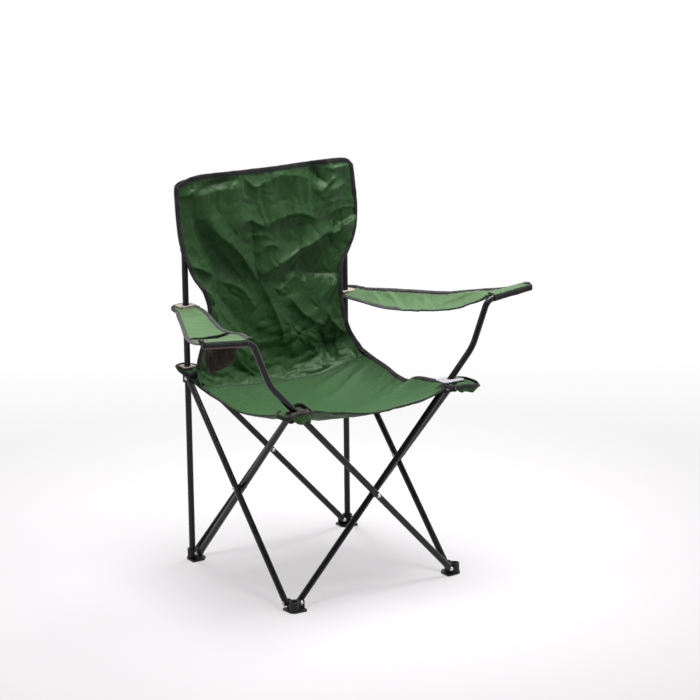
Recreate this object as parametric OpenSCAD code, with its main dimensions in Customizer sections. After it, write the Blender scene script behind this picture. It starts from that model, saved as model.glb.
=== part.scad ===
// Folding camp chair: four crossed pairs of tubes, two uprights, cloth seat, back and armrests.
// Front is -Y, +Z is up, the feet stand on z = 0.

/* [Frame] */
// Distance between the two lower pivots of one crossed pair
pivot_span = 364; // [340:1:390]
// Height of the upper pivots above the lower pivots
rise = 388; // [360:1:410]
// Height of the lower pivots above the ground
pivot_z = 16.5; // [16:0.5:20]
// Distance from a pivot to the socket or upright beside it
pivot_to_socket = 17.5; // [17.5:0.5:20]
// Height of the top of the uprights
upright_top = 808; // [780:1:820]

/* [Tube] */
// Outer diameter of every tube
tube_d = 13; // [12.5:0.1:13]
// Wall of every tube
tube_wall = 1; // [0.8:0.1:1.5]
// Length of tube past its end pivot
tube_over = 5; // [4:0.5:5]
// Gap between a tube and the lug beside it
lug_gap = 0.4; // [0.3:0.1:0.6]
// Thickness of the plastic lugs
lug_t = 3; // [2.5:0.1:3.5]

/* [Arm posts] */
// Half distance between the lower bends of the arm posts
bend_x = 252; // [245:1:260]
// Half distance between the upper bends
arm_x = 291; // [286:1:296]
// Height of the upper bends
arm_z = 574; // [565:1:585]
// Length of the arm bars
arm_bar = 111; // [100:1:116]
// Upward tilt of the arm bars
arm_tilt = 5.7; // [0:0.1:9]

/* [Rivets] */
// Rivet shank diameter
rivet_d = 5; // [4:0.1:5.2]
// Rivet head diameter
head_d = 8.6; // [7.5:0.1:9]
// Rivet head height
head_h = 1.8; // [1.2:0.1:2.2]

/* [Cloth] */
// Thickness of the cloth panels
cloth_t = 3; // [2:0.5:3]
// Sag of the seat's side edges below its corners
seat_sag = 36; // [25:1:45]
// Half width of the back at its waist
waist_x = 166; // [155:1:172]
// Half width of the back at its head
head_x = 221; // [216:1:224]
// Height of the back's top edge
back_top = 828; // [825:1:835]
// Height of the left armrest at its upright
arm_left_z = 552; // [545:1:565]
// Height of the right armrest at its upright
arm_right_z = 529; // [525:1:545]
// Sag of the left armrest in its middle
arm_left_sag = 14; // [8:1:30]
// Sag of the right armrest in its middle
arm_right_sag = 32; // [10:1:36]

/* [Hidden] */
$fn = 48;
tube_r = tube_d / 2;
bore_r = tube_r - tube_wall;
half = pivot_span / 2;
corner = half + pivot_to_socket;
lean = atan2(pivot_span, rise);
leg_len = sqrt(pivot_span ^ 2 + rise ^ 2);
top_z = pivot_z + rise;
side_off = tube_r + lug_gap + lug_t / 2;
rivet_r = rivet_d / 2;
run_r = rivet_r + 0.06;
snug_r = rivet_r + 0.02;
hub_r = 10.6;
rim_z = 23;
sole_t = 4;
sleeve_r = 10.5;
slider_tab_z = top_z + 17;
lug_end = 24.5;
// the eyelet of a front corner, on the axis of the leaning tube
eye_z = 417;
tab_t = 2.5;
plate_t = 2;
plate_gap = 0.1;
eye_x = half + (eye_z - top_z) * tan(lean);
bend_z = top_z + (bend_x - half) / tan(lean);
post_lean = atan2(arm_x - bend_x, arm_z - bend_z);
bar_lean = 90 - arm_tilt;
lower_turn = post_lean - lean;
upper_turn = bar_lean - post_lean;
lower_bend_r = 90;
upper_bend_r = 28;
lower_tan = lower_bend_r * tan(abs(lower_turn) / 2);
upper_tan = upper_bend_r * tan(upper_turn / 2);
leg_to_bend = tube_over + leg_len + (bend_x - half) / sin(lean);
post_len = norm([arm_x - bend_x, arm_z - bend_z]);
green = [0.11, 0.29, 0.14];
dark = [0.08, 0.08, 0.09];
cream = [0.85, 0.80, 0.70];
steel = [0.75, 0.75, 0.74];
mesh_c = [0.13, 0.12, 0.10];

// Four-fold layout: quarter k = 0 is the front left corner, then counter-clockwise.
module at_corner(k) {
  rotate([0, 0, 90 * k]) translate([-corner, -corner, 0]) children();
}

// A side's own frame: x along the side, outward is -y, k as for its first corner.
module at_side(k) {
  rotate([0, 0, 90 * k]) translate([0, -corner, 0]) children();
}

// Tubes

module pipe_core(r) {
  translate([0, 0, -1])
    cylinder(r = r - 0.4, h = 2);
}

// A run of straight lengths and bends: rows of [length, turn, bend radius]. A short core
// inside each joint makes the pipe one solid.
module pipe(run, r, i = 0) {
  turn = run[i][1];
  bend = run[i][2];
  cylinder(r = r, h = run[i][0]);
  if (i > 0) pipe_core(r);
  if (i + 1 < len(run))
    translate([0, 0, run[i][0]]) {
      pipe_core(r);
      mirror([turn < 0 ? 1 : 0, 0, 0])
        translate([bend, 0, 0])
          rotate([90, 0, 180])
            rotate_extrude(angle = abs(turn))
              translate([bend, 0])
                circle(r);
      translate([sign(turn) * bend * (1 - cos(turn)), 0, bend * sin(abs(turn))])
        rotate([0, turn, 0])
          pipe(run, r, i + 1);
    }
}

// Holes across a leg tube for its rivets, at the lower, middle and upper pivots.
module leg_holes() {
  for (s = [0, leg_len / 2, leg_len])
    translate([0, 0, tube_over + s])
      rotate([90, 0, 0])
        cylinder(r = run_r, h = tube_d + 2, center = true);
}

module at_leg(off) {
  translate([-half, off, pivot_z])
    rotate([0, lean, 0])
      translate([0, 0, -tube_over])
        children();
}

// Straight leg of a side; off is its distance inward from the lug plane.
module straight_leg(off) {
  color(dark)
    at_leg(off)
      difference() {
        cylinder(r = tube_r, h = leg_len + 2 * tube_over);
        translate([0, 0, -1])
          cylinder(r = bore_r, h = leg_len + 2 * tube_over + 2);
        leg_holes();
      }
}

module arm_pipe(r, extra) {
  translate([0, 0, -extra])
    pipe([
      [leg_to_bend - lower_tan + extra, lower_turn, lower_bend_r],
      [post_len - lower_tan - upper_tan, upper_turn, upper_bend_r],
      [arm_bar - upper_tan + extra, 0, 0]
    ], r);
}

// Leg that runs on through the seat corner as arm post and arm bar.
module arm_leg(off) {
  color(dark)
    at_leg(off)
      difference() {
        arm_pipe(tube_r, 0);
        arm_pipe(bore_r, 1);
        leg_holes();
      }
}

module upright() {
  color(dark)
    translate([0, 0, sole_t])
      difference() {
        cylinder(r = tube_r, h = upright_top - sole_t);
        translate([0, 0, -1])
          cylinder(r = bore_r, h = upright_top);
      }
}

module upright_cap() {
  color(dark) {
    translate([0, 0, upright_top - 12])
      cylinder(r = bore_r - 0.05, h = 12);
    translate([0, 0, upright_top])
      cylinder(r1 = tube_r, r2 = tube_r - 2, h = 2.5);
  }
}

// Placed on the axis of the arm bar, starting at the upper bend's corner.
module at_bar(off) {
  translate([arm_x, off, arm_z])
    rotate([0, bar_lean, 0])
      children();
}

module bar_plug(off) {
  color(dark)
    at_bar(off) {
      translate([0, 0, arm_bar - 10])
        cylinder(r = bore_r - 0.05, h = 10);
      translate([0, 0, arm_bar])
        cylinder(r1 = tube_r, r2 = tube_r - 1.5, h = 2);
    }
}

// Plastic fittings

module lug(z0, z1, thick) {
  difference() {
    translate([0, -thick / 2, z0]) {
      cube([lug_end - 5, thick, z1 - z0]);
      translate([lug_end - 5, 0, 0])
        cube([5, thick, z1 - z0 - 5]);
      translate([lug_end - 5, thick, z1 - z0 - 5])
        rotate([90, 0, 0])
          cylinder(r = 5, h = thick);
    }
    translate([pivot_to_socket, 0, pivot_z])
      rotate([90, 0, 0])
        cylinder(r = snug_r, h = thick + 2, center = true);
  }
}

// The same lug on the corner's second side.
module second_side() {
  mirror([1, -1, 0]) children();
}

module sole() {
  linear_extrude(sole_t)
    hull() {
      circle(hub_r + 1.5);
      translate([lug_end - 4, -9]) circle(4);
      translate([-9, lug_end - 4]) circle(4);
      translate([lug_end - 4, lug_end - 12]) circle(4);
      translate([lug_end - 12, lug_end - 4]) circle(4);
    }
}

module foot() {
  color(dark)
    difference() {
      union() {
        sole();
        cylinder(r = hub_r, h = rim_z);
        lug(0, rim_z, lug_t);
        second_side() lug(0, rim_z, lug_t);
      }
      translate([0, 0, sole_t])
        cylinder(r = tube_r + 0.02, h = rim_z);
      translate([0, 0, rim_z - 1.5])
        cylinder(r1 = tube_r, r2 = tube_r + 1.6, h = 1.6);
    }
}

module slider() {
  color(dark)
    difference() {
      union() {
        translate([0, 0, top_z - 13])
          cylinder(r = sleeve_r, h = 24);
        translate([0, 0, rise]) {
          lug(pivot_z - 10, pivot_z + 9, lug_t);
          second_side() lug(pivot_z - 10, pivot_z + 9, lug_t);
        }
      }
      translate([0, 0, top_z - 20])
        cylinder(r = tube_r + 0.4, h = 40);
    }
}

module front_bracket() {
  color(dark)
    translate([0, 0, rise]) {
      lug(pivot_z - 10, pivot_z + 6, lug_t);
      second_side() lug(pivot_z - 10, pivot_z + 6, lug_t);
      translate([-lug_t / 2, -lug_t / 2, pivot_z - 10])
        cube([lug_t, lug_t, 16]);
      translate([0, 0, pivot_z - 10])
        cylinder(r = 5, h = 3);
    }
}

module spacer() {
  color(dark)
    translate([0, 0, pivot_z + rise / 2])
      rotate([90, 0, 0])
        difference() {
          cylinder(r = 6.5, h = 2 * (side_off - tube_r) - 0.6, center = true);
          cylinder(r = run_r, h = 10, center = true);
        }
}

// Rivets

// Rivet along y from y0 to y1, with a domed head beyond each end.
module rivet(y0, y1) {
  translate([0, y1, 0])
    rotate([90, 0, 0]) {
      cylinder(r = rivet_r, h = y1 - y0);
      translate([0, 0, y1 - y0])
        cylinder(r1 = head_d / 2, r2 = head_d / 2 - 1.4, h = head_h);
      mirror([0, 0, 1])
        cylinder(r1 = head_d / 2, r2 = head_d / 2 - 1.4, h = head_h);
    }
}

// A corner's two rivets; the inner tube is on the first side of a foot.
module corner_rivets(z, inner_first) {
  far = side_off + tube_r + 0.1;
  near = lug_t / 2;
  color(steel)
    translate([0, 0, z]) {
      translate([pivot_to_socket, 0, 0])
        if (inner_first) rivet(-near, far); else rivet(-far, near);
      second_side()
        translate([pivot_to_socket, 0, 0])
          if (inner_first) rivet(-far, near); else rivet(-near, far);
    }
}

module crossing_rivet() {
  far = side_off + tube_r + 0.1;
  color(steel)
    translate([0, 0, pivot_z + rise / 2])
      rivet(-far, far);
}

// Cloth

// Closed sheet over a grid of points; the lower face is shifted by d.
module sheet(grid, d) {
  rows = len(grid);
  cols = len(grid[0]);
  n = rows * cols;
  top = [for (row = grid) each row];
  low = [for (p = top) p + d];
  function id(r, c) = r * cols + c;
  quads = [for (r = [0 : rows - 2], c = [0 : cols - 2])
    [id(r, c), id(r, c + 1), id(r + 1, c + 1), id(r + 1, c)]];
  tri = [for (q = quads) each [[q[0], q[1], q[2]], [q[0], q[2], q[3]]]];
  rim = concat(
    [for (c = [0 : cols - 2]) [id(0, c), id(0, c + 1)]],
    [for (r = [0 : rows - 2]) [id(r, cols - 1), id(r + 1, cols - 1)]],
    [for (c = [cols - 1 : -1 : 1]) [id(rows - 1, c), id(rows - 1, c - 1)]],
    [for (r = [rows - 1 : -1 : 1]) [id(r, 0), id(r - 1, 0)]]);
  faces = concat(
    [for (t = tri) [t[2], t[1], t[0]]],
    [for (t = tri) [t[0] + n, t[1] + n, t[2] + n]],
    [for (e = rim) each [[e[0], e[1], e[1] + n], [e[0], e[1] + n, e[0] + n]]]);
  polyhedron(points = concat(top, low), faces = faces);
}

// Seat: its extent, the height of its corners, and how far its middle dishes and its ends rise
seat_front = -205;
seat_rear = 149;
seat_mid = -20;
seat_x = 197;
seat_gap = 0.2;
corner_cut = 66;
rim_height = 418;
dish = 10;
front_rise = 10;
rear_rise = 2;
rear_share = 0.6;
seat_rows = 16;
seat_cols = 8;
function seat_t(y) = y < seat_mid
  ? ((seat_mid - y) / (seat_mid - seat_front)) ^ 2
  : ((y - seat_mid) / (seat_rear - seat_mid)) ^ 2;
function seat_z(x, y) =
  let (ahead = y < seat_mid, t = seat_t(y))
  rim_height - seat_sag - dish + (ahead ? front_rise : rear_rise) * t
  + (x / seat_x) ^ 2 * (dish + (seat_sag - dish) * (ahead ? 1 : rear_share) * t);

function mix(a, b, t) = a + (b - a) * t;

// One half of the seat, the left one with s = -1.
module seat_half(s) {
  color(green)
    difference() {
      sheet([for (j = [0 : seat_rows])
        let (y = mix(seat_front, seat_rear, j / seat_rows))
        [for (i = [0 : seat_cols])
          let (t = i / seat_cols,
               x = s < 0 ? mix(-seat_x, -seat_gap, t) : mix(seat_gap, seat_x, t))
          [x, y, seat_z(x, y)]]], [0, 0, -cloth_t]);
      translate([s * seat_x, seat_front, rim_height])
        rotate([0, 0, 45])
          cube([corner_cut, corner_cut, 116], center = true);
    }
}

back_cols = 16;
foot_rise = 24; // of the lowest row's ends, which follow the seam
// Rows of the back: height, y, half width.
back_rows = [
  [373, 153, 190], [400, 154, 188], [430, 157, 180], [470, 160, waist_x + 2],
  [530, 166, waist_x], [580, 176, waist_x + 8], [612, 183, waist_x + 18],
  [640, 188.5, 204], [665, 189.5, 213], [700, 189.5, head_x - 1], [760, 189.5, head_x],
  [800, 189.5, head_x], [814, 189.5, head_x - 4], [back_top, 189.5, head_x - 52]];

module back_panel() {
  color(green)
    sheet([for (row = back_rows)
      [for (i = [0 : back_cols])
        let (u = 1 - 2 * i / back_cols)
        [row[2] * u, row[1], row[0] + (row == back_rows[0] ? foot_rise * u * u : 0)]]],
      [0, cloth_t, 0]);
}

// Pocket of the back over the top of an upright.
module pocket() {
  z0 = back_top - 160;
  color(green)
    difference() {
      hull() {
        translate([-10, 4, z0]) cylinder(r = 5, h = 148);
        translate([0, 0, z0]) cylinder(r = tube_r + 2.2, h = 156.5);
        translate([17, 0, z0 + 20]) cylinder(r = 2.5, h = 122);
      }
      translate([0, 0, z0 - 1])
        cylinder(r = tube_r + 0.4, h = upright_top + 4 - z0);
      translate([-30, -30, z0 - 1])
        cube([60, 30 - 6.5, 200]);
    }
}

arm_rear_y = 172;
function bar_z(x) = arm_z + (x - arm_x) * tan(arm_tilt);
function arm_in(t) = mix(arm_x + 2, corner - 24, t);
function arm_out(t) = mix(arm_x + 113, corner + 38, t);

// Points of an armrest from its arm bar (t = 0) back to the upright (t = 1), raised by lift.
function arm_grid(front_y, rear_z, sag, lift) =
  [for (j = [0 : 12])
    let (t = j / 12)
    [for (i = [0 : 4])
      let (x = mix(arm_in(t), arm_out(t), i / 4))
      [x, mix(front_y, arm_rear_y, t),
       lift + mix(bar_z(x) + 6, rear_z, t) - 4 * sag * t * (1 - t) * (1 - 0.4 * i / 4)]]];

module armrest_plain() {
  color(green)
    sheet(arm_grid(-(corner - side_off) + 9, arm_right_z, arm_right_sag, 0), [0, 0, -cloth_t]);
}

// The left armrest has the cup slit across it.
arm_left_y = -(corner + side_off) + 9;
slit_y = -82;
slit_w = 8;
slit_x = [-330, -267];
module armrest_cup() {
  color(green)
    difference() {
      mirror([1, 0, 0])
        sheet(arm_grid(arm_left_y, arm_left_z, arm_left_sag, 0), [0, 0, -cloth_t]);
      translate([slit_x[0], slit_y - slit_w / 2, 500])
        cube([slit_x[1] - slit_x[0], slit_w, 120]);
    }
}

// Cup pocket under the left armrest, between its edges, its rim sewn to the underside.
cup_front = -193;
cup_rear = -72;
cup_z = 511;
cup_wall = 2;
function arm_t(y) = (y - arm_left_y) / (arm_rear_y - arm_left_y);
module cup_block(inset, z0) {
  translate([0, 0, z0])
    linear_extrude(90)
      offset(12 - inset)
        offset(-12)
          polygon([
            [-arm_in(arm_t(cup_front)) - 8, cup_front],
            [-arm_out(arm_t(cup_front)) + 18, cup_front],
            [-arm_out(arm_t(cup_rear)) + 30, cup_rear],
            [-arm_in(arm_t(cup_rear)) - 8, cup_rear]
          ]);
}

module cup_pocket() {
  above = 60;
  color(mesh_c)
    difference() {
      cup_block(0, cup_z);
      cup_block(cup_wall, cup_z + cup_wall);
      mirror([1, 0, 0])
        sheet(arm_grid(arm_left_y, arm_left_z, arm_left_sag, above),
          [0, 0, 1 - cloth_t - above]);
    }
}

// Cloth sleeve round an arm bar.
module bar_sleeve(off) {
  color(green)
    at_bar(off)
      translate([0, 0, upper_tan + 1])
        difference() {
          cylinder(r = tube_r + 1.6, h = arm_bar - upper_tan - 3);
          translate([0, 0, -1])
            cylinder(r = tube_r + 0.05, h = arm_bar);
        }
}

module rounded(w, d, h, r) {
  linear_extrude(h)
    offset(r)
      square([w - 2 * r, d - 2 * r], center = true);
}

// Tab of cloth threaded on an upright, centred on the tube; hole is its radius.
module rear_tab(z, w, d, shift) {
  color(green)
    difference() {
      translate([shift[0], shift[1], z]) rounded(w, d, tab_t, 10);
      translate([0, 0, z - 1]) cylinder(r = tube_r + 2.5, h = 6);
    }
}

module plate(z, w, d) {
  color(cream)
    difference() {
      translate([0, 0, z]) rounded(w, d, plate_t, 8);
      translate([0, 0, z - 1]) cylinder(r = tube_r + 0.5, h = 6);
    }
}

// Front corner: s = 1 is the right one. The tab and plate are cut for the leaning tube.
module front_hole(s, off, r) {
  translate([s * eye_x, off, eye_z])
    rotate([0, s * lean, 0])
      cylinder(r = r, h = 60, center = true);
}

module front_tab(s, off) {
  color(green)
    difference() {
      translate([s * (eye_x + 2), -200, eye_z - 1.5]) rounded(58, 64, tab_t, 10);
      front_hole(s, off, tube_r + 2.5);
    }
}

module front_plate(s, off, w, d) {
  color(cream)
    difference() {
      translate([s * (eye_x - 2), off - 3.5, eye_z - 1.5 + tab_t + plate_gap + 0.1])
        rounded(w, d, plate_t, 8);
      front_hole(s, off, tube_r + 0.1);
    }
}

// One module per node

module foot_front_left() { at_corner(0) foot(); }
module foot_front_right() { at_corner(1) foot(); }
module foot_rear_right() { at_corner(2) foot(); }
module foot_rear_left() { at_corner(3) foot(); }
module rivets_foot_front_left() { at_corner(0) corner_rivets(pivot_z, true); }
module rivets_foot_front_right() { at_corner(1) corner_rivets(pivot_z, true); }
module rivets_foot_rear_right() { at_corner(2) corner_rivets(pivot_z, true); }
module rivets_foot_rear_left() { at_corner(3) corner_rivets(pivot_z, true); }
module upright_left() { at_corner(3) upright(); }
module upright_right() { at_corner(2) upright(); }
module cap_left() { at_corner(3) upright_cap(); }
module cap_right() { at_corner(2) upright_cap(); }
module leg_front_inner() { at_side(0) arm_leg(side_off); }
module leg_front_outer() { at_side(0) mirror([1, 0, 0]) arm_leg(-side_off); }
module leg_right_inner() { at_side(1) straight_leg(side_off); }
module leg_right_outer() { at_side(1) mirror([1, 0, 0]) straight_leg(-side_off); }
module leg_rear_inner() { at_side(2) straight_leg(side_off); }
module leg_rear_outer() { at_side(2) mirror([1, 0, 0]) straight_leg(-side_off); }
module leg_left_inner() { at_side(3) straight_leg(side_off); }
module leg_left_outer() { at_side(3) mirror([1, 0, 0]) straight_leg(-side_off); }
module spacer_front() { at_side(0) spacer(); }
module spacer_right() { at_side(1) spacer(); }
module spacer_rear() { at_side(2) spacer(); }
module spacer_left() { at_side(3) spacer(); }
module rivet_front() { at_side(0) crossing_rivet(); }
module rivet_right() { at_side(1) crossing_rivet(); }
module rivet_rear() { at_side(2) crossing_rivet(); }
module rivet_left() { at_side(3) crossing_rivet(); }
module slider_left() { at_corner(3) slider(); }
module slider_right() { at_corner(2) slider(); }
module rivets_slider_left() { at_corner(3) corner_rivets(top_z, false); }
module rivets_slider_right() { at_corner(2) corner_rivets(top_z, false); }
module bracket_left() { at_corner(0) front_bracket(); }
module bracket_right() { at_corner(1) front_bracket(); }
module rivets_bracket_left() { at_corner(0) corner_rivets(top_z, false); }
module rivets_bracket_right() { at_corner(1) corner_rivets(top_z, false); }
module plug_left() { mirror([1, 0, 0]) bar_plug(-corner - side_off); }
module plug_right() { bar_plug(-corner + side_off); }
module back() { back_panel(); }
module pocket_left() { translate([-corner, corner, 0]) mirror([1, 0, 0]) pocket(); }
module pocket_right() { translate([corner, corner, 0]) pocket(); }
module seat_left() { seat_half(-1); }
module seat_right() { seat_half(1); }
module armrest_left() { armrest_cup(); }
module armrest_right() { armrest_plain(); }
module cup_mesh() { cup_pocket(); }
module sleeve_left() { mirror([1, 0, 0]) bar_sleeve(-corner - side_off); }
module sleeve_right() { bar_sleeve(-corner + side_off); }
module tab_arm_left() { translate([-corner, corner, 0]) rear_tab(arm_left_z, 50, 52, [-1, -1]); }
module tab_arm_right() { translate([corner, corner, 0]) rear_tab(arm_right_z, 50, 52, [1, -1]); }
module plate_arm_left() { translate([-corner, corner, 0]) plate(arm_left_z + tab_t + plate_gap, 40, 30); }
module plate_arm_right() { translate([corner, corner, 0]) plate(arm_right_z + tab_t + plate_gap, 40, 30); }
module tab_rear_left() { translate([-corner, corner, 0]) rear_tab(slider_tab_z, 50, 58, [-4, 5.4]); }
module tab_rear_right() { translate([corner, corner, 0]) rear_tab(slider_tab_z, 50, 58, [4, 5.4]); }
module plate_rear_left() { translate([-corner, corner, 0]) plate(slider_tab_z + tab_t + plate_gap, 29, 29); }
module plate_rear_right() { translate([corner, corner, 0]) plate(slider_tab_z + tab_t + plate_gap, 29, 29); }
module tab_front_left() { front_tab(-1, -corner - side_off); }
module tab_front_right() { front_tab(1, -corner + side_off); }
module plate_front_left() { front_plate(-1, -corner - side_off, 40, 34); }
module plate_front_right() { front_plate(1, -corner + side_off, 52, 38); }

foot_front_left();
foot_front_right();
foot_rear_right();
foot_rear_left();
rivets_foot_front_left();
rivets_foot_front_right();
rivets_foot_rear_right();
rivets_foot_rear_left();
upright_left();
upright_right();
cap_left();
cap_right();
leg_front_inner();
leg_front_outer();
leg_right_inner();
leg_right_outer();
leg_rear_inner();
leg_rear_outer();
leg_left_inner();
leg_left_outer();
spacer_front();
spacer_right();
spacer_rear();
spacer_left();
rivet_front();
rivet_right();
rivet_rear();
rivet_left();
slider_left();
slider_right();
rivets_slider_left();
rivets_slider_right();
bracket_left();
bracket_right();
rivets_bracket_left();
rivets_bracket_right();
plug_left();
plug_right();
back();
pocket_left();
pocket_right();
seat_left();
seat_right();
armrest_left();
armrest_right();
cup_mesh();
sleeve_left();
sleeve_right();
tab_arm_left();
tab_arm_right();
plate_arm_left();
plate_arm_right();
tab_rear_left();
tab_rear_right();
plate_rear_left();
plate_rear_right();
tab_front_left();
tab_front_right();
plate_front_left();
plate_front_right();
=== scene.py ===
"""Looks of a folding camp chair: cloth sling, bound edges, mesh cup pocket, painted tubes.

Every length is in metres, in the row frame: -Y is the front, +Z is up, the feet stand on z = 0.
The tables of edges and folds are in millimetres and in percent of a sheet, and say so.
"""
import math
import random

import bpy
import numpy as np
from mathutils import Matrix, Vector, noise


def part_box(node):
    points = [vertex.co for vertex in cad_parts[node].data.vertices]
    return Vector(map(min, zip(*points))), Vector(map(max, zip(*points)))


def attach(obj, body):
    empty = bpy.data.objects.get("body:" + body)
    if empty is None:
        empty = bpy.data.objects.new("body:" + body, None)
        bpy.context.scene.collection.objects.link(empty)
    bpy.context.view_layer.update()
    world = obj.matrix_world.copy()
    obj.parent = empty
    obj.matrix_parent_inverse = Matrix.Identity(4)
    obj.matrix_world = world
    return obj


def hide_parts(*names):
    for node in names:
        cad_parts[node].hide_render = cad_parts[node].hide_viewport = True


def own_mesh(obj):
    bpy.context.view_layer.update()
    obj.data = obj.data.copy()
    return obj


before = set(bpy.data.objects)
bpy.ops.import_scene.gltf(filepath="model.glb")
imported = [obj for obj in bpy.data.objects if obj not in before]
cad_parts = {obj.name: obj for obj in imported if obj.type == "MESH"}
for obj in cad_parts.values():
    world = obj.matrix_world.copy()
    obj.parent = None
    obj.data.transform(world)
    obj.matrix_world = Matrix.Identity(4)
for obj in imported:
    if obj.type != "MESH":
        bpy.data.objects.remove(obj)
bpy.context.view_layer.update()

# Places taken from the frame
tube_low, tube_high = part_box("upright_left")
TUBE_R = (tube_high.x - tube_low.x) / 2
POST = (tube_high.x + tube_low.x) / -2
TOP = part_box("back")[1].z
SIGN = {"left": -1, "right": 1}
# The bent front tubes: each holds a corner of the seat and carries an armrest
ARM_LEG = {"left": "leg_front_outer", "right": "leg_front_inner"}


# ---- curves and grids

def mm(*points):
    """Points given in millimetres, in metres."""
    return [tuple(value / 1000 for value in point) for point in points]


def unit(vectors):
    return vectors / np.maximum(np.linalg.norm(vectors, axis=-1, keepdims=True), 1e-12)


def distances(line):
    """How far along a line each of its points is."""
    return np.concatenate([[0], np.cumsum(np.linalg.norm(np.diff(line, axis=0), axis=1))])


def resample(curve, count):
    """The same curve with count points, evenly spaced along it."""
    along = distances(curve)
    want = np.linspace(0, along[-1], count)
    return np.stack([np.interp(want, along, curve[:, k]) for k in range(3)], 1)


def smooth_curve(points, count):
    """count points on a smooth curve through the given points, evenly spaced along it."""
    p = np.array(points, float)
    t = np.concatenate([[0], np.cumsum(np.linalg.norm(np.diff(p, axis=0), axis=1) ** 0.6)])
    slope = np.gradient(p, t, axis=0)
    fine = np.linspace(0, t[-1], 400)
    i = np.clip(np.searchsorted(t, fine, side="right") - 1, 0, len(t) - 2)
    h = (t[i + 1] - t[i])[:, None]
    s = ((fine - t[i])[:, None]) / h
    curve = ((2 * s**3 - 3 * s**2 + 1) * p[i] + (s**3 - 2 * s**2 + s) * h * slope[i]
             + (-2 * s**3 + 3 * s**2) * p[i + 1] + (s**3 - s**2) * h * slope[i + 1])
    return resample(curve, count)


def closed_curve(points, count):
    """count points evenly spaced along a smooth closed curve through the given points."""
    three = list(points) * 3 + [points[0]]
    return smooth_curve(three, 3 * count + 1)[count:2 * count + 1]


def smoothed(values, reach):
    """Values averaged with their neighbours, reach of them on each side."""
    window = 2 * reach + 1
    return np.convolve(np.pad(values, reach, mode="edge"), np.ones(window) / window, mode="valid")


def coons(bottom, top, left, right):
    """Grid of points between four edge curves: rows go from bottom to top, columns left to right."""
    rows, cols = len(left), len(bottom)
    u = np.linspace(0, 1, cols)[None, :, None]
    v = np.linspace(0, 1, rows)[:, None, None]
    across = (1 - u) * left[:, None] + u * right[:, None]
    along = (1 - v) * bottom[None] + v * top[None]
    corners = ((1 - u) * (1 - v) * bottom[0] + u * (1 - v) * bottom[-1]
               + (1 - u) * v * top[0] + u * v * top[-1])
    return across + along - corners


def sag(grid, depth, start=0.0, reach=1.0):
    """Depth in the middle of a grid, 0 at its edges; start and reach limit it to some of its rows."""
    rows, cols, _ = grid.shape
    v = np.linspace(0, 1, rows)[:, None]
    u = np.linspace(-1, 1, cols)[None]
    return depth * np.sin(np.clip((v - start) / reach, 0, 1) * math.pi) * (1 - u**2)


def grid_normals(grid):
    """Unit normals of a grid of points, right-handed from columns to rows."""
    return unit(np.cross(np.gradient(grid, axis=1), np.gradient(grid, axis=0)))


def pushed(grid, offset, fade):
    """The grid moved along its normals by the offset, which falls to 0 at its edges over fade."""
    rows, cols, _ = grid.shape
    u = np.linspace(0, 1, cols)[None]
    v = np.linspace(0, 1, rows)[:, None]
    near = np.minimum(np.minimum(u, 1 - u), np.minimum(v, 1 - v))
    inside = np.clip(near / fade, 0, 1) ** 0.7
    return grid + grid_normals(grid) * (offset * inside)[..., None]


# ---- meshes

def linked(name, data):
    """A new object in the scene."""
    obj = bpy.data.objects.new(name, data)
    bpy.context.scene.collection.objects.link(obj)
    return obj


def add_object(name, vertices, faces, material, uvs=None):
    mesh = bpy.data.meshes.new(name)
    mesh.from_pydata([tuple(v) for v in vertices], [], faces)
    mesh.validate()
    mesh.shade_smooth()
    if uvs is not None:
        layer = mesh.uv_layers.new(name="cloth")
        loops = np.zeros(len(mesh.loops), int)
        mesh.loops.foreach_get("vertex_index", loops)
        layer.data.foreach_set("uv", np.array(uvs, float)[loops].astype(np.float32).ravel())
    mesh.materials.append(material)
    return linked(name, mesh)


def ring_faces(count, m, closed=False):
    """Faces of a tube of count rings of m points: its ends are closed, or joined to each other."""
    last = count if closed else count - 1
    faces = [(k * m + j, k * m + (j + 1) % m, ((k + 1) % count) * m + (j + 1) % m,
              ((k + 1) % count) * m + j) for k in range(last) for j in range(m)]
    if not closed:
        faces += [tuple(range(m - 1, -1, -1)), tuple((count - 1) * m + j for j in range(m))]
    return faces


def grid_faces(rows, cols):
    return [(r * cols + c, r * cols + c + 1, (r + 1) * cols + c + 1, (r + 1) * cols + c)
            for r in range(rows - 1) for c in range(cols - 1)]


def grid_object(name, grid, material, thick=0.0011, turn=(0, 0)):
    """Cloth of the given thickness over a grid of points; turn shifts its weave."""
    rows, cols, _ = grid.shape
    across, along = distances(grid[rows // 2]), distances(grid[:, cols // 2])
    uvs = [(across[c] + turn[0], along[r] + turn[1]) for r in range(rows) for c in range(cols)]
    obj = add_object(name, grid.reshape(-1, 3), grid_faces(rows, cols), material, uvs)
    if thick:
        solid = obj.modifiers.new("thickness", "SOLIDIFY")
        solid.thickness = thick
        solid.offset = 0
    return obj


def frames_along(path, side):
    """Unit side and normal at each point of a path."""
    t = unit(np.gradient(path, axis=0))
    s = unit(side - (side * t).sum(1, keepdims=True) * t)
    return s, np.cross(t, s)


# Cross-section of binding tape, in shares of its width and thickness
TAPE_SECTION = ((-0.12, 0.0), (-0.05, 0.42), (0.1, 0.5), (0.5, 0.53), (0.93, 0.5), (1.0, 0.36),
                (1.0, -0.36), (0.93, -0.5), (0.5, -0.53), (0.1, -0.5), (-0.05, -0.42))


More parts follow.
